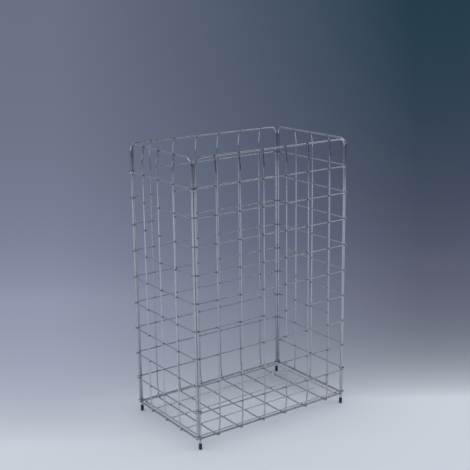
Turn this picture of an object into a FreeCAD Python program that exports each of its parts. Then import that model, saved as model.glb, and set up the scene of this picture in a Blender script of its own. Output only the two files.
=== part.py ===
import FreeCAD, Part
import math
import os

# Mesh wastepaper bin of welded bright wire, open at the top, on four capped legs.
# Two long panels and two short panels stand leg beside leg and are tied by wire rings.
# A loose wire floor hangs by hooks on the bottom bars of the two long panels.
# Origin: on the floor under the middle of the bin. X runs along the long panels, Z is up.

# Panels, measured between wire axes
long_panel_width = 328.0
bin_depth = 204.0
top_bar_height = 520.0
bottom_bar_height = 20.0
cells_high = 10
corner_bend_radius = 12.0

# Wires
frame_wire_d = 4.0
mesh_wire_d = 2.5
rod_d = 4.0
ring_wire_d = 2.0

# Rows: they lap over the outer sides of the legs and stop a little short of the legs' edges
row_end_inset = 0.5

# Uprights: the outer cells of each panel are their own size, the rest share what is left
long_upright_count = 6
long_edge_cell = 39.0
side_upright_count = 3
side_edge_cell = 50.3
upright_overrun = 1.0

# The ends of the uprights are pressed in from the rows to the bars by one gentle double bend
press_radius = 60.0
press_start = 2.0

# Gaps between wires that are not welded together
leg_gap = 0.5
hook_gap = 0.3
ring_gap = 0.15

# How far the legs of the short panels stand inside the planes of the long panels
side_leg_step = 1.7

# Floor
floor_drop = 1.5
hook_side_step = 4.0
hook_tail = 3.5
hook_neck_radius = 4.0
floor_wire_count = 3
floor_wire_pitch = 53.0
floor_edge_gap = 1.5
rod_inset = 6.0
rod_end_gap = 2.0

# Corner rings
ring_seam = 0.6
ring_stack_gap = 0.3

# Foot caps
cap_d = 6.0
cap_height = 11.0
cap_floor = 2.0
cap_edge = 1.0
cap_mouth_edge = 0.3
cap_bore_gap = 0.05

# Sizes worked out from those above
frame_r = frame_wire_d / 2
mesh_r = mesh_wire_d / 2
rod_r = rod_d / 2
ring_r = ring_wire_d / 2
half_width = long_panel_width / 2
half_depth = bin_depth / 2
cell_height = (top_bar_height - bottom_bar_height) / cells_high
row_heights = [bottom_bar_height + n * cell_height for n in range(1, cells_high)]
side_half_span = half_depth - side_leg_step
side_plane = half_width + math.sqrt((frame_wire_d + leg_gap) ** 2 - side_leg_step ** 2)
lap_offset = frame_r + mesh_r
upright_offset = lap_offset + mesh_wire_d
press_turn = math.acos(1 - mesh_wire_d / (2 * press_radius))
leg_foot_height = cap_floor
side_leg_end = bottom_bar_height - frame_r

floor_cross_height = bottom_bar_height - floor_drop
floor_long_height = floor_cross_height + mesh_wire_d
rod_height = floor_long_height - mesh_r - rod_r
hook_radius = frame_r + mesh_r + hook_gap
rod_x = half_width - rod_inset
rod_half_length = half_depth - frame_r - rod_end_gap


def vec(x, y, z):
    return FreeCAD.Vector(x, y, z)


def wire_rod(start, end, radius):
    """A straight cut wire between two points of its axis."""
    run = end - start
    return Part.makeCylinder(radius, run.Length, start, run)


def line(a, b):
    return Part.LineSegment(a, b).toShape()


def arc(a, middle, b):
    return Part.Arc(a, middle, b).toShape()


def bent_wire(edges, radius):
    """A round wire swept along joined straight runs and tangent bends."""
    path = Part.Wire(edges)
    first = path.OrderedEdges[0]
    start = first.valueAt(first.FirstParameter)
    heading = first.tangentAt(first.FirstParameter)
    section = Part.Wire([Part.Circle(start, heading, radius).toShape()])
    return path.makePipeShell([section], True, True)


def spread(count, half_span, edge_cell):
    """Places of evenly spread wires that leave one edge cell at each end of the span."""
    pitch = 2 * (half_span - edge_cell) / (count - 1)
    return [edge_cell - half_span + n * pitch for n in range(count)]


def save(name, solids):
    """Writes one sub-part, as one solid or as a group of separate solids."""
    shape = solids[0] if len(solids) == 1 else Part.makeCompound(solids)
    shape.exportStep("parts/" + name + ".step")


class Panel:
    """Places points on one panel: along the panel, out from its frame plane, and up."""

    def __init__(self, name, half_span, plane, leg_end, turn):
        self.name = name
        self.half_span = half_span
        self.plane = plane
        self.leg_end = leg_end
        self.turn = math.radians(turn)

    def at(self, along, out, up):
        reach = self.plane + out
        c, s = math.cos(self.turn), math.sin(self.turn)
        return vec(along * c + reach * s, along * s - reach * c, up)


def panel_frame(panel):
    """Two legs and the top bar, bent from one wire."""
    w, top, r = panel.half_span, top_bar_height, corner_bend_radius
    k = r * math.sin(math.radians(45))
    foot_l, knee_l = panel.at(-w, 0, panel.leg_end), panel.at(-w, 0, top - r)
    bend_l, bar_l = panel.at(-w + r - k, 0, top - r + k), panel.at(-w + r, 0, top)
    foot_r, knee_r = panel.at(w, 0, panel.leg_end), panel.at(w, 0, top - r)
    bend_r, bar_r = panel.at(w - r + k, 0, top - r + k), panel.at(w - r, 0, top)
    edges = [line(foot_l, knee_l), arc(knee_l, bend_l, bar_l), line(bar_l, bar_r)]
    edges += [arc(bar_r, bend_r, knee_r), line(knee_r, foot_r)]
    return bent_wire(edges, frame_r)


def bottom_bar(panel):
    """A thick bar butted between the two legs."""
    reach, z = panel.half_span - frame_r, bottom_bar_height
    return wire_rod(panel.at(-reach, 0, z), panel.at(reach, 0, z), frame_r)


def panel_row(panel, height):
    """A horizontal wire lapped over the outer sides of the two legs."""
    reach = panel.half_span + frame_r - row_end_inset
    return wire_rod(panel.at(-reach, lap_offset, height), panel.at(reach, lap_offset, height), mesh_r)


def panel_upright(panel, along):
    """An upright outside the rows, with both ends pressed in so that they lap over the bars."""
    rise, lift = press_radius * math.sin(press_turn), press_radius * math.sin(press_turn / 2)
    bow = press_radius * (1 - math.cos(press_turn / 2))
    begin = frame_r + press_start

    def end(bar, inward):
        """Tip past the bar, straight lap and double bend, heights counted from the bar."""
        def at(out, height):
            return panel.at(along, out, bar + inward * height)

        return [at(lap_offset, -frame_r - upright_overrun), at(lap_offset, begin),
                at(lap_offset + bow, begin + lift), at(lap_offset + mesh_r, begin + rise),
                at(upright_offset - bow, begin + 2 * rise - lift), at(upright_offset, begin + 2 * rise)]

    low, high = end(bottom_bar_height, 1), end(top_bar_height, -1)
    edges = [line(low[0], low[1]), arc(low[1], low[2], low[3]), arc(low[3], low[4], low[5])]
    edges += [line(low[5], high[5])]
    edges += [arc(high[5], high[4], high[3]), arc(high[3], high[2], high[1]), line(high[1], high[0])]
    return bent_wire(edges, mesh_r)


def make_panel(panel, uprights):
    save(panel.name + "_frame", [panel_frame(panel)])
    save(panel.name + "_bottom_bar", [bottom_bar(panel)])
    save(panel.name + "_row_wires", [panel_row(panel, z) for z in row_heights])
    for number, along in enumerate(uprights, start=1):
        save(f"{panel.name}_upright_{number}", [panel_upright(panel, along)])


def floor_cross_wire(x):
    """A floor wire whose two ends rise and hook over the bottom bars of the long panels."""
    bar, rh, rn = half_depth, hook_radius, hook_neck_radius
    neck_height = floor_cross_height + rn
    rise = bottom_bar_height - neck_height
    reach = math.sqrt((rh + rn) ** 2 - rise ** 2)
    share = rh / (rh + rn)

    def end(side):
        """Tail, hook over the bar and neck down to the floor level, from the tip inwards."""
        def at(inward, height):
            return vec(x, side * (bar - inward), height)

        tip = at(-rh, bottom_bar_height - hook_tail)
        shoulder = at(-rh, bottom_bar_height)
        crown = at(0, bottom_bar_height + rh)
        meet = at(reach * share, bottom_bar_height - rise * share)
        angle = math.atan2(rise, -reach)
        if angle > 0:
            angle -= 2 * math.pi
        half_way = (angle - math.pi / 2) / 2
        neck = at(reach + rn * math.cos(half_way), neck_height + rn * math.sin(half_way))
        level = at(reach, floor_cross_height)
        return [tip, shoulder, crown, meet, neck, level]

    front, back = end(-1), end(1)
    edges = [line(front[0], front[1]), arc(front[1], front[2], front[3]), arc(front[3], front[4], front[5])]
    edges += [line(front[5], back[5])]
    edges += [arc(back[5], back[4], back[3]), arc(back[3], back[2], back[1]), line(back[1], back[0])]
    return bent_wire(edges, mesh_r)


def make_floor(uprights):
    for number, x in enumerate(uprights, start=1):
        save(f"floor_cross_wire_{number}", [floor_cross_wire(x - hook_side_step)])
    edge = half_depth - hook_radius - mesh_wire_d - floor_edge_gap
    middle = (floor_wire_count - 1) / 2
    places = [-edge] + [(n - middle) * floor_wire_pitch for n in range(floor_wire_count)] + [edge]
    for number, y in enumerate(places, start=1):
        reach = rod_x + rod_r
        wire = wire_rod(vec(-reach, y, floor_long_height), vec(reach, y, floor_long_height), mesh_r)
        save(f"floor_long_wire_{number}", [wire])
    for name, x in (("left", -rod_x), ("right", rod_x)):
        rod = wire_rod(vec(x, -rod_half_length, rod_height), vec(x, rod_half_length, rod_height), rod_r)
        save(f"floor_{name}_rod", [rod])


def corner_ring(side_x, side_y, height):
    """A wire loop closed round a long panel's leg and the short panel's leg beside it."""
    r = frame_r + ring_r + ring_gap
    run = frame_wire_d + leg_gap
    along_x, along_y = (side_plane - half_width) / run, -side_leg_step / run

    def at(along, out):
        """A point counted along the line from the long panel's leg to the other, and square to it."""
        x = half_width + along * along_x - out * along_y
        y = half_depth + along * along_y + out * along_x
        return vec(side_x * x, side_y * y, height)

    first, last = (run - ring_seam) / 2, (run + ring_seam) / 2
    edges = [line(at(last, -r), at(run, -r)), arc(at(run, -r), at(run + r, 0), at(run, r))]
    edges += [line(at(run, r), at(0, r)), arc(at(0, r), at(-r, 0), at(0, -r))]
    edges += [line(at(0, -r), at(first, -r))]
    return bent_wire(edges, ring_r)


def make_rings():
    under_row = mesh_r + ring_r + ring_stack_gap
    over_bar = frame_r + ring_r + ring_stack_gap
    heights = [bottom_bar_height + over_bar, row_heights[0] + under_row, row_heights[-1] - under_row]
    for name, sx, sy in CORNERS:
        save(f"{name}_rings", [corner_ring(sx, sy, z) for z in heights])


def foot_cap(x, y):
    """A push-on cap with a blind bore for the leg and rounded off edges."""
    cap = Part.makeCylinder(cap_d / 2, cap_height, vec(x, y, 0))
    low = [e for e in cap.Edges if e.BoundBox.ZMax < cap_edge]
    cap = cap.makeFillet(cap_edge, low)
    bore = Part.makeCylinder(frame_r + cap_bore_gap, cap_height - cap_floor, vec(x, y, cap_floor))
    cap = cap.cut(bore)
    rim = [e for e in cap.Edges if e.BoundBox.ZMin > cap_height - cap_edge]
    return cap.makeFillet(cap_mouth_edge, rim)


def make_caps():
    for name, sx, sy in CORNERS:
        save(f"{name}_foot_cap", [foot_cap(sx * half_width, sy * half_depth)])


CORNERS = (("front_left", -1, -1), ("front_right", 1, -1), ("back_left", -1, 1), ("back_right", 1, 1))

os.makedirs("parts", exist_ok=True)
long_places = spread(long_upright_count, half_width, long_edge_cell)
side_places = spread(side_upright_count, side_half_span, side_edge_cell)
make_panel(Panel("front", half_width, half_depth, leg_foot_height, 0), long_places)
make_panel(Panel("back", half_width, half_depth, leg_foot_height, 180), long_places)
make_panel(Panel("left", side_half_span, side_plane, side_leg_end, 270), side_places)
make_panel(Panel("right", side_half_span, side_plane, side_leg_end, 90), side_places)
make_floor(long_places)
make_rings()
make_caps()
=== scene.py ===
import math

import bpy
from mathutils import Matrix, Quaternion, Vector


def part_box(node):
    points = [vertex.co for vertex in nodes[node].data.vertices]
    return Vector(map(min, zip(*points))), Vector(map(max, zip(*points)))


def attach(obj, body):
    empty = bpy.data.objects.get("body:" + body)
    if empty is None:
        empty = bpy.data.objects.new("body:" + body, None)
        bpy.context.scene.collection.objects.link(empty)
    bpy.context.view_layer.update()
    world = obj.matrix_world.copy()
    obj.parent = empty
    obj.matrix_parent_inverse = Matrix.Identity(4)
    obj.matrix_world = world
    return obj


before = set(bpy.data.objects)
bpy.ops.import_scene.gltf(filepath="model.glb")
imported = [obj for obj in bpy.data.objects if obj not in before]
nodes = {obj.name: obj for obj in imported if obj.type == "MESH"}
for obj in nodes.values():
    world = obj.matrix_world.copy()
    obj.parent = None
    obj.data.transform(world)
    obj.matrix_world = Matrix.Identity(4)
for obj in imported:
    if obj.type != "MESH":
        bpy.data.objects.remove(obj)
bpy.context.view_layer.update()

bpy.ops.object.select_all(action="DESELECT")


# Camera
# It stands to the left of the front panel and looks down into the bin, as the photograph was taken.
# The roll is the small tilt of the picture.
camera_place = Vector((-1.0063, -1.4088, 0.7886))
camera_azimuth = math.radians(-35.23)
camera_elevation = math.radians(14.39)
camera_roll = math.radians(-0.74)
camera_lens = 73.7

look_back = Vector((
    math.sin(camera_azimuth) * math.cos(camera_elevation),
    -math.cos(camera_azimuth) * math.cos(camera_elevation),
    math.sin(camera_elevation),
))
bpy.ops.object.camera_add(location=camera_place)
camera = bpy.context.object
camera.name = "camera"
camera.rotation_mode = "QUATERNION"
camera.rotation_quaternion = (-look_back).to_track_quat("-Z", "Y") @ Quaternion((0, 0, 1), camera_roll)
camera.data.lens = camera_lens
bpy.context.scene.camera = camera


# Frame wires and bottom bars of the four panels
# Each frame is one thick drawn steel wire bent to two legs and a top bar, and a straight bar closes
# it near the floor. All of it is bright plated; round every weld it is painted duller and darker, partly
# heat tint and partly painted shade where the wires meet.
cell = 0.050
lowest_weld = 0.020
long_leg_place = 0.164
short_leg_place = 0.1003
long_upright_start = 0.025
short_upright_start = 0.0

plate_tint = (1.0, 1.01, 1.11)
brightest_plate = 0.97
bright_cloud = 1.17
dull_cloud = 0.83
# The darkening round the welds is partly heat tint and partly painted shade where the wires cross.
burnt_plate_and_painted_shade = (0.23, 0.23, 0.235, 1)
cloud_roughness = 0.08
line_roughness = 0.04
burnt_roughness = 0.2


def add_node(tree, kind, inputs=None, **settings):
    """Adds a node; each input is a plain value or another node's output."""
    made = tree.nodes.new(kind)
    for name, value in settings.items():
        setattr(made, name, value)
    for name, value in (inputs or {}).items():
        if isinstance(value, bpy.types.NodeSocket):
            tree.links.new(value, made.inputs[name])
        else:
            made.inputs[name].default_value = value
    return made


def calculate(tree, operation, *values):
    """One step of arithmetic between sockets and numbers."""
    return add_node(tree, "ShaderNodeMath", dict(enumerate(values)), operation=operation).outputs[0]


def weighted(tree, start, parts):
    """A start value plus each part times its weight."""
    total = start
    for part, weight in parts:
        total = calculate(tree, "ADD", calculate(tree, "MULTIPLY", part, weight), total)
    return total


def blend(tree, share, first, second):
    """A colour between two: the first where the share is 0, the second where it is 1."""
    mixed = add_node(
        tree, "ShaderNodeMix", {"Factor": share, "A": first, "B": second}, data_type="RGBA")
    return mixed.outputs["Result"]


def noise(tree, place, settings):
    """Uneven values between 0 and 1."""
    return add_node(tree, "ShaderNodeTexNoise", {"Vector": place, **settings}).outputs["Fac"]


def bump(tree, height, strength, distance):
    """Fine relief of a surface."""
    relief = add_node(
        tree, "ShaderNodeBump", {"Strength": strength, "Distance": distance, "Height": height})
    return relief.outputs["Normal"]


def new_group(name, inputs, outputs):
    """An empty shader node group with its sockets, and its input and output nodes."""
    tree = bpy.data.node_groups.new(name, "ShaderNodeTree")
    for label, kind in inputs:
        tree.interface.new_socket(name=label, in_out="INPUT", socket_type=kind)
    for label, kind in outputs:
        tree.interface.new_socket(name=label, in_out="OUTPUT", socket_type=kind)
    return tree, tree.nodes.new("NodeGroupInput").outputs, tree.nodes.new("NodeGroupOutput").inputs


def place_group(tree, group, inputs):
    """Puts a node group into a material."""
    return add_node(tree, "ShaderNodeGroup", inputs, node_tree=group).outputs


def drawn_wire_group():
    """Die lines along a drawn wire, and the cloudy unevenness of its plating."""
    number, vector = "NodeSocketFloat", "NodeSocketVector"
    tree, given, result = new_group(
        "drawn_wire", [("Along wire", vector), ("Place", vector)],
        [("Lines", number), ("Clouds", number)])
    lines = noise(tree, given["Along wire"], {"Scale": 1.0, "Detail": 3.0, "Roughness": 0.6})
    clouds = noise(tree, given["Place"], {"Scale": 90.0, "Detail": 4.0, "Roughness": 0.65})
    tree.links.new(lines, result["Lines"])
    tree.links.new(clouds, result["Clouds"])
    return tree


def weld_heat_and_shade_group():
    """Where the wire was heated and shade is painted: 1 at each weld of the mesh, fading with the
    distance from it.
    """
    number, vector = "NodeSocketFloat", "NodeSocketVector"
    full_heat_and_shade_share = 0.35
    mottle_middle = 0.5
    tree, given, result = new_group(
        "weld_heat_and_shade",
        [("Place", vector), ("Along", number), ("First upright", number), ("Leg", number),
         ("Height", number), ("Reach", number)],
        [("Heat and shade", number)])

    def to_nearest(value, first):
        """Distance to the nearest of the places that repeat every cell from the first one."""
        return calculate(tree, "PINGPONG", calculate(tree, "SUBTRACT", value, first), cell / 2)

    def squared(value):
        return calculate(tree, "MULTIPLY", value, value)

    to_upright = to_nearest(given["Along"], given["First upright"])
    to_leg = calculate(tree, "ABSOLUTE", calculate(
        tree, "SUBTRACT", calculate(tree, "ABSOLUTE", given["Along"]), given["Leg"]))
    across = calculate(tree, "MINIMUM", to_upright, to_leg)
    upward = to_nearest(given["Height"], lowest_weld)
    distance = calculate(
        tree, "POWER", calculate(tree, "ADD", squared(across), squared(upward)), 0.5)
    mottle = noise(tree, given["Place"], {"Scale": 700.0, "Detail": 2.0})
    ragged = calculate(tree, "MULTIPLY", distance, calculate(tree, "ADD", mottle, mottle_middle))
    heat_and_shade = add_node(tree, "ShaderNodeMapRange", {
        "Value": ragged, "From Min": calculate(tree, "MULTIPLY", given["Reach"], full_heat_and_shade_share),
        "From Max": given["Reach"], "To Min": 1.0, "To Max": 0.0}, interpolation_type="SMOOTHSTEP")
    tree.links.new(heat_and_shade.outputs["Result"], result["Heat and shade"])
    return tree


drawn_wire = drawn_wire_group()
weld_heat_and_shade = weld_heat_and_shade_group()


def new_material(name):
    """A material without nodes, and its node tree."""
    material = bpy.data.materials.new(name)
    material.use_nodes = True
    material.node_tree.nodes.clear()
    return material, material.node_tree


def add_surface(tree, settings):
    """The surface with its settings, joined to the material's output."""
    shader = add_node(tree, "ShaderNodeBsdfPrincipled", settings)
    add_node(tree, "ShaderNodeOutputMaterial", {"Surface": shader.outputs["BSDF"]})


def object_place(tree):
    """The place of a point on the bin."""
    return add_node(tree, "ShaderNodeTexCoord").outputs["Object"]


def plate_colour(level, share):
    """Slightly blue plating that reflects a share of the given level."""
    return [min(level * share * part, brightest_plate) for part in plate_tint] + [1]


def plated_wire(name, level, roughness, heat_and_shade_reach, welds, runs):
    """Bright plated drawn wire.

    Welds gives the coordinate along the panel, the leg's place and the first upright's. Runs gives
    the stretch of the die lines, as scale along X, Y and Z.
    """
    coordinate, leg, first_upright = welds
    material, tree = new_material(name)
    place = object_place(tree)
    axes = add_node(tree, "ShaderNodeSeparateXYZ", {0: place}).outputs
    stretched = add_node(tree, "ShaderNodeVectorMath", {0: place, 1: runs}, operation="MULTIPLY")
    drawn = place_group(tree, drawn_wire, {"Along wire": stretched.outputs[0], "Place": place})
    heat_and_shade = place_group(tree, weld_heat_and_shade, {
        "Place": place, "Along": axes[coordinate], "First upright": first_upright, "Leg": leg,
        "Height": axes["Z"], "Reach": heat_and_shade_reach})["Heat and shade"]
    cloudy = blend(
        tree, drawn["Clouds"], plate_colour(level, bright_cloud), plate_colour(level, dull_cloud))
    rough = weighted(tree, roughness, (
        (drawn["Clouds"], cloud_roughness), (drawn["Lines"], line_roughness),
        (heat_and_shade, burnt_roughness)))
    add_surface(tree, {
        # Painted shade: darker round each weld, besides the heat tint.
        "Base Color": blend(tree, heat_and_shade, cloudy, burnt_plate_and_painted_shade), "Metallic": 1.0, "Roughness": rough,
        "Normal": bump(tree, drawn["Lines"], strength=0.35, distance=0.00003)})
    return material


def dress(part_of_name, material):
    """Gives a finish to every CAD node that has these words in its name."""
    for name, node in nodes.items():
        if part_of_name in name:
            for holder in node.material_slots:
                holder.material = material


long_panels = ("front", "back")
short_panels = ("left", "right")
long_welds = ("X", long_leg_place, long_upright_start)
short_welds = ("Y", short_leg_place, short_upright_start)
# Painted light and shade: the same plated frame wire is painted darker on the long panels and lighter on
# the short ones, as lit and shaded copies of one finish.
long_frame_painted_shade_level = 0.47
short_frame_painted_light_level = 0.50
frame_roughness = 0.03
frame_heat_and_shade_reach = 0.0026
even_lines = (1800, 1800, 1800)
long_frame_finish = plated_wire(
    "long_panel_frame_wire", long_frame_painted_shade_level, frame_roughness, frame_heat_and_shade_reach, long_welds, even_lines)
short_frame_finish = plated_wire(
    "short_panel_frame_wire", short_frame_painted_light_level, frame_roughness, frame_heat_and_shade_reach, short_welds, even_lines)
for panels, finish in ((long_panels, long_frame_finish), (short_panels, short_frame_finish)):
    for panel in panels:
        dress(panel + "_frame", finish)
        dress(panel + "_bottom_bar", finish)


# Row wires and uprights
# The mesh of each panel is thinner wire: rows lapped over the outer sides of the legs, and uprights
# outside the rows with their ends pressed in to the bars. Each crossing was welded under pressure,
# which left a dark mark on both wires, painted as heat tint together with painted shade where the wires
# cross.
along_x = (60, 4200, 4200)
along_y = (4200, 60, 4200)
along_z = (4200, 4200, 60)
# Painted light and shade: the same mesh wire is painted darker on the long panels and lighter on the
# short ones, as lit and shaded copies of one finish.
long_mesh_painted_shade_level = 0.475
short_mesh_painted_light_level = 0.575
mesh_roughness = 0.06
mesh_heat_and_shade_reach = 0.0023


def mesh_wire(name, level, welds, runs):
    """The finish of the thinner wire."""
    return plated_wire(name, level, mesh_roughness, mesh_heat_and_shade_reach, welds, runs)


long_row_finish = mesh_wire("long_panel_row_wire", long_mesh_painted_shade_level, long_welds, along_x)
long_upright_finish = mesh_wire("long_panel_upright_wire", long_mesh_painted_shade_level, long_welds, along_z)
short_row_finish = mesh_wire("short_panel_row_wire", short_mesh_painted_light_level, short_welds, along_y)
short_upright_finish = mesh_wire("short_panel_upright_wire", short_mesh_painted_light_level, short_welds, along_z)
for panels, row_finish, upright_finish in (
        (long_panels, long_row_finish, long_upright_finish),
        (short_panels, short_row_finish, short_upright_finish)):
    for panel in panels:
        dress(panel + "_row_wires", row_finish)
        dress(panel + "_upright", upright_finish)


# Floor of the bin
# A loose grid: cross wires that hook over the bottom bars, long wires welded on top of them, and a
# thicker rod under each end. It is drawn like the mesh, but its colour is painted lighter as painted
# light, since it lies level and catches more light.
floor_cross_start = long_upright_start - 0.004
floor_welds = ("X", long_leg_place, floor_cross_start)
# Painted light: the same wire as the mesh, painted lighter because it lies level and catches more light.
floor_painted_light_level = 0.78
floor_cross_finish = mesh_wire("floor_cross_wire", floor_painted_light_level, floor_welds, along_y)
floor_long_finish = mesh_wire("floor_long_wire", floor_painted_light_level, floor_welds, along_x)
dress("floor_cross_wire", floor_cross_finish)
dress("floor_long_wire", floor_long_finish)
for rod in ("floor_left_rod", "floor_right_rod"):
    dress(rod, floor_cross_finish)


# Corner rings
# Loops of thinner bright wire that are closed round each pair of legs and hold the panels together.
ring_level = 0.64
ring_roughness = 0.05
no_heat_nor_shade = 0.0001
ring_finish = plated_wire(
    "corner_ring_wire", ring_level, ring_roughness, no_heat_nor_shade, long_welds, even_lines)
dress("_rings", ring_finish)


# Foot caps
# Black rubber caps, dip moulded and pushed on the ends of the long panels' legs.
cap_black = (0.010, 0.010, 0.012, 1)
cap_bloomed = (0.030, 0.031, 0.034, 1)
cap_roughness = 0.42
cap_bloom_roughness = 0.3
cap_finish, cap_tree = new_material("black_rubber_cap")
cap_place = object_place(cap_tree)
cap_grain = noise(cap_tree, cap_place, {"Scale": 2600.0, "Detail": 3.0})
cap_bloom = noise(cap_tree, cap_place, {"Scale": 320.0, "Detail": 4.0})
add_surface(cap_tree, {
    "Base Color": blend(cap_tree, cap_bloom, cap_black, cap_bloomed),
    "Roughness": weighted(cap_tree, cap_roughness, ((cap_bloom, cap_bloom_roughness),)),
    "Normal": bump(cap_tree, cap_grain, strength=0.5, distance=0.00006)})
dress("_foot_cap", cap_finish)


# Weld beads
# Each weld squeezed out a little metal, which set as a flat bead between the two wires: at the
# crossings of the mesh, at its ends on the bars and legs, and on the floor of the bin. The beads'
# dark colour is partly the weld metal's own and partly painted shade where the wires meet.
frame_radius = 0.002
mesh_thickness = 0.0025
# Painted shade: the beads are painted dark for the shade where the wires meet, besides their own dull
# metal.
bead_dark_and_painted_shade = (0.12, 0.12, 0.125, 1)
bead_pale = (0.36, 0.365, 0.375, 1)
bead_roughness = 0.32
bead_mottle_roughness = 0.3
bead_metal_with_painted_shade, bead_tree = new_material("weld_bead_with_painted_shade")
bead_mottle = noise(bead_tree, object_place(bead_tree), {"Scale": 900.0, "Detail": 3.0})
add_surface(bead_tree, {
    "Base Color": blend(bead_tree, bead_mottle, bead_dark_and_painted_shade, bead_pale), "Metallic": 1.0,
    "Roughness": weighted(bead_tree, bead_roughness, ((bead_mottle, bead_mottle_roughness),)),
    "Normal": bump(bead_tree, bead_mottle, strength=0.6, distance=0.0001)})

bead_unevenness = 0.00015
bead_wide = 0.0012
bead_thin = 0.0005
butt_thin = 0.0007
butt_wide = frame_radius + 0.0003
up = Vector((0, 0, 1))


def lens_size(thin_way, thin, wide):
    """Half sizes of a bead that is thin one way and round across it."""
    return Vector([thin if part else wide for part in thin_way])


def start_bead(name, place, size):
    """One bead: a ball pressed flat to a lens."""
    bpy.ops.mesh.primitive_uv_sphere_add(segments=12, ring_count=6, radius=1.0, location=place)
    bead = bpy.context.object
    bead.name = name
    bead.scale = size
    bpy.ops.object.transform_apply(location=False, rotation=False, scale=True)
    return bead


def repeat(bead, offset, count):
    """Copies the bead along a line at equal steps."""
    copies = bead.modifiers.new("copies", "ARRAY")
    copies.use_relative_offset = False
    copies.use_constant_offset = True
    copies.constant_offset_displace = offset
    copies.count = count
    bpy.ops.object.modifier_apply(modifier="copies")


def finish_beads(bead, seed):
    """Makes the beads uneven, puts their place in the mesh and lets them ride on the bin."""
    bpy.ops.object.mode_set(mode="EDIT")
    bpy.ops.mesh.select_all(action="SELECT")
    bpy.ops.transform.vertex_random(offset=bead_unevenness, uniform=1.0, normal=0.0, seed=seed)
    bpy.ops.object.mode_set(mode="OBJECT")
    bpy.ops.object.transform_apply(location=True, rotation=True, scale=True)
    bpy.ops.object.shade_smooth()
    bead.data.materials.append(bead_metal_with_painted_shade)
    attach(bead, "root")
    bead.select_set(False)


def weld_beads(name, place, size, steps, seed):
    """A pattern of beads from the first place, with an offset and a count for each step."""
    bead = start_bead(name, place, size)
    for offset, count in steps:
        repeat(bead, offset, count)
    finish_beads(bead, seed)


long_plane = 0.102
short_plane = -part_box("left_frame")[0].x - frame_radius
row_count = 9
panel_sides = (
    ("front", Vector((1, 0, 0)), Vector((0, -1, 0)), long_plane, long_leg_place, 6),
    ("back", Vector((1, 0, 0)), Vector((0, 1, 0)), long_plane, long_leg_place, 6),
    ("left", Vector((0, 1, 0)), Vector((-1, 0, 0)), short_plane, short_leg_place, 3),
    ("right", Vector((0, 1, 0)), Vector((1, 0, 0)), short_plane, short_leg_place, 3),
)
bar_seed = 10
leg_seed = 20
butt_seed = 30
bar_height = up * lowest_weld
first_row_height = up * (lowest_weld + cell)
every_row = (up * cell, row_count)
both_bars = (up * cell * (row_count + 1), 2)

for number, (panel, side, outward, plane, leg, uprights) in enumerate(panel_sides):
    size = lens_size(outward, bead_thin, bead_wide)
    on_frame = outward * (plane + frame_radius)
    on_rows = outward * (plane + frame_radius + mesh_thickness)
    to_first_upright = side * cell * (uprights - 1) / 2
    every_upright = (side * cell, uprights)
    weld_beads(
        panel + "_crossing_beads", on_rows - to_first_upright + first_row_height, size,
        (every_upright, every_row), number)
    weld_beads(
        panel + "_bar_beads", on_frame - to_first_upright + bar_height, size,
        (every_upright, both_bars), bar_seed + number)
    weld_beads(
        panel + "_leg_beads", on_frame - side * leg + first_row_height, size,
        ((side * 2 * leg, 2), every_row), leg_seed + number)
    to_bar_end = leg - frame_radius
    weld_beads(
        panel + "_butt_beads", outward * plane - side * to_bar_end + bar_height,
        lens_size(side, butt_thin, butt_wide), ((side * 2 * to_bar_end, 2),), butt_seed + number)

floor_contact = 0.01975
floor_half_span = 0.09445
floor_wire_step = 0.053
rod_place = 0.158
cross_count = 6
floor_seed = 40
rod_seed = 50
first_cross = floor_cross_start - cell * cross_count / 2
floor_places = (-floor_half_span, -floor_wire_step, 0.0, floor_wire_step, floor_half_span)
floor_size = lens_size(up, bead_thin, bead_wide)
for number, place in enumerate(floor_places):
    name = "floor_wire_%d" % (number + 1)
    weld_beads(
        name + "_beads", Vector((first_cross, place, floor_contact)), floor_size,
        ((Vector((cell, 0, 0)), cross_count),), floor_seed + number)
    weld_beads(
        name + "_rod_beads", Vector((-rod_place, place, floor_contact)), floor_size,
        ((Vector((2 * rod_place, 0, 0)), 2),), rod_seed + number)


# Floor and light of the picture
# A floor with painted light: a pale painted pool of light round the bin that falls off to painted blue
# grey shade all round it, darker on the right, an even room light, and three large soft lamps.
floor_half = 90.0
floor_roughness = 0.9
# Painted light: the pale near shade is a painted pool of light round the bin, and the middle and far
# shades are painted shade where that light falls off, darker on the right.
painted_lit_floor = (206, 213, 223)
left_middle_painted_shade = (140, 145, 170)
left_far_painted_shade = (114, 122, 143)
right_middle_painted_shade = (84, 88, 108)
right_far_painted_shade = (38, 65, 81)
painted_light_reach = 2.3
fan_start = 2.0
fan_narrowest = 1.5
fan_half = 0.18
depth_direction = Vector((-look_back.x, -look_back.y, 0)).normalized()
across_direction = Vector((depth_direction.y, -depth_direction.x, 0))


def from_levels(shade):
    """A colour given in levels of 0 to 255, as the shader reads it."""
    return [((part / 255 + 0.055) / 1.055) ** 2.4 for part in shade] + [1]


def along(tree, place, direction):
    """How far a place lies in a direction."""
    return add_node(
        tree, "ShaderNodeVectorMath", {0: place, 1: direction}, operation="DOT_PRODUCT").outputs["Value"]


def painted_falloff(tree, away, shade, far_shade, start, reach, power):
    """A painted shade of the floor, standing in for light that falls off, which turns to a further one
    from the start on, and ever more slowly.
    """
    past = calculate(tree, "MAXIMUM", calculate(tree, "SUBTRACT", away, start), 0.0)
    stretch = calculate(tree, "ADD", calculate(tree, "DIVIDE", past, reach), 1.0)
    painted_light_lost = calculate(tree, "SUBTRACT", 1.0, calculate(tree, "POWER", stretch, -power))
    return blend(tree, painted_light_lost, shade, from_levels(far_shade))


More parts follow.
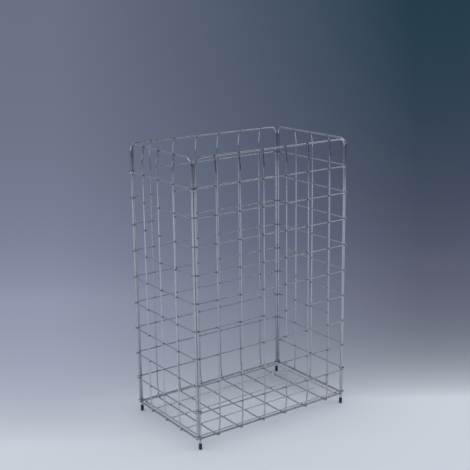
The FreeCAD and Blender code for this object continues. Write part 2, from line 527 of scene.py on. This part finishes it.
bpy.ops.mesh.primitive_plane_add(size=2 * floor_half, location=(0, 0, 0))
studio_floor = bpy.context.object
studio_floor.name = "studio_floor"
floor_with_painted_light, floor_tree = new_material("studio_floor")
floor_place = object_place(floor_tree)
floor_depth = along(floor_tree, floor_place, depth_direction)
floor_across = along(floor_tree, floor_place, across_direction)
from_bin = add_node(
    floor_tree, "ShaderNodeVectorMath", {0: floor_place}, operation="LENGTH").outputs["Value"]
away = calculate(
    floor_tree, "MAXIMUM", floor_depth, calculate(floor_tree, "SUBTRACT", from_bin, painted_light_reach))
painted_lit_near_floor = from_levels(painted_lit_floor)
left_painted_falloff = painted_falloff(
    floor_tree, away, painted_lit_near_floor, left_middle_painted_shade, start=-0.15, reach=0.75, power=3.0)
left_painted_falloff = painted_falloff(floor_tree, away, left_painted_falloff, left_far_painted_shade, start=0.7, reach=0.6, power=1.0)
right_painted_falloff = painted_falloff(
    floor_tree, away, painted_lit_near_floor, right_middle_painted_shade, start=0.03, reach=0.45, power=3.0)
right_painted_falloff = painted_falloff(floor_tree, away, right_painted_falloff, right_far_painted_shade, start=1.0, reach=1.5, power=1.0)
fan = calculate(
    floor_tree, "MAXIMUM", calculate(floor_tree, "ADD", floor_depth, fan_start), fan_narrowest)
to_right = add_node(floor_tree, "ShaderNodeMapRange", {
    "Value": calculate(floor_tree, "DIVIDE", floor_across, fan), "From Min": -fan_half,
    "From Max": fan_half}).outputs["Result"]
add_surface(floor_tree, {
    "Base Color": blend(floor_tree, to_right, left_painted_falloff, right_painted_falloff),
    "Roughness": floor_roughness, "Specular IOR Level": 0.0})
studio_floor.data.materials.append(floor_with_painted_light)

room_level = 0.85
room_turn = 0.5
room_left = ((0.0, (120, 129, 150)), (0.12, (134, 140, 156)), (0.35, (166, 169, 177)),
             (0.7, (170, 172, 178)), (1.0, (172, 173, 177)))
room_right = ((0.0, (46, 68, 84)), (0.12, (50, 66, 82)), (0.35, (60, 68, 82)),
              (0.7, (72, 78, 88)), (1.0, (150, 152, 158)))


def colour_stops(tree, value, stops):
    """A ramp between a few colours, each given as its position and its levels."""
    ramp = add_node(tree, "ShaderNodeValToRGB", {"Fac": value})
    points = ramp.color_ramp.elements
    while len(points) < len(stops):
        points.new(0.5)
    for point, (position, shade) in zip(points, stops):
        point.position = position
        point.color = from_levels(shade)
    return ramp.outputs["Color"]


world = bpy.data.worlds.new("studio")
bpy.context.scene.world = world
world.use_nodes = True
sky = world.node_tree
sky.nodes.clear()
path = add_node(sky, "ShaderNodeLightPath").outputs
seen = calculate(sky, "MAXIMUM", path["Is Camera Ray"], calculate(
    sky, "MAXIMUM", path["Is Glossy Ray"], path["Is Transmission Ray"]))
room_light = add_node(sky, "ShaderNodeBackground", {"Color": (1, 1, 1, 1), "Strength": room_level})
view_way = add_node(sky, "ShaderNodeTexCoord").outputs["Generated"]
view_height = add_node(sky, "ShaderNodeSeparateXYZ", {0: view_way}).outputs["Z"]
view_right = add_node(sky, "ShaderNodeMapRange", {
    "Value": along(sky, view_way, across_direction), "From Min": -room_turn,
    "From Max": room_turn}).outputs["Result"]
room_colour = blend(
    sky, view_right, colour_stops(sky, view_height, room_left),
    colour_stops(sky, view_height, room_right))
room_view = add_node(sky, "ShaderNodeBackground", {"Color": room_colour, "Strength": 1.0})
room = add_node(sky, "ShaderNodeMixShader", {
    0: seen, 1: room_light.outputs[0], 2: room_view.outputs[0]})
add_node(sky, "ShaderNodeOutputWorld", {"Surface": room.outputs[0]})

lamp_aim = up * 0.25


def softbox(name, depth, across, height, width, power):
    """A square area lamp, placed by the picture's depth and width and turned to the bin."""
    place = depth_direction * depth + across_direction * across + up * height
    bpy.ops.object.light_add(type="AREA", location=place)
    lamp = bpy.context.object
    lamp.name = name
    lamp.data.shape = "SQUARE"
    lamp.data.size = width
    lamp.data.energy = power
    lamp.rotation_mode = "QUATERNION"
    lamp.rotation_quaternion = (lamp_aim - place).to_track_quat("-Z", "Y")


softbox("top_softbox", depth=0.1, across=1.6, height=2.2, width=0.8, power=2.5)
softbox("left_softbox", depth=-0.4, across=-2.3, height=1.2, width=1.6, power=8.0)
softbox("right_softbox", depth=0.15, across=2.3, height=1.2, width=1.2, power=6.0)

bpy.context.scene.view_settings.view_transform = "Standard"
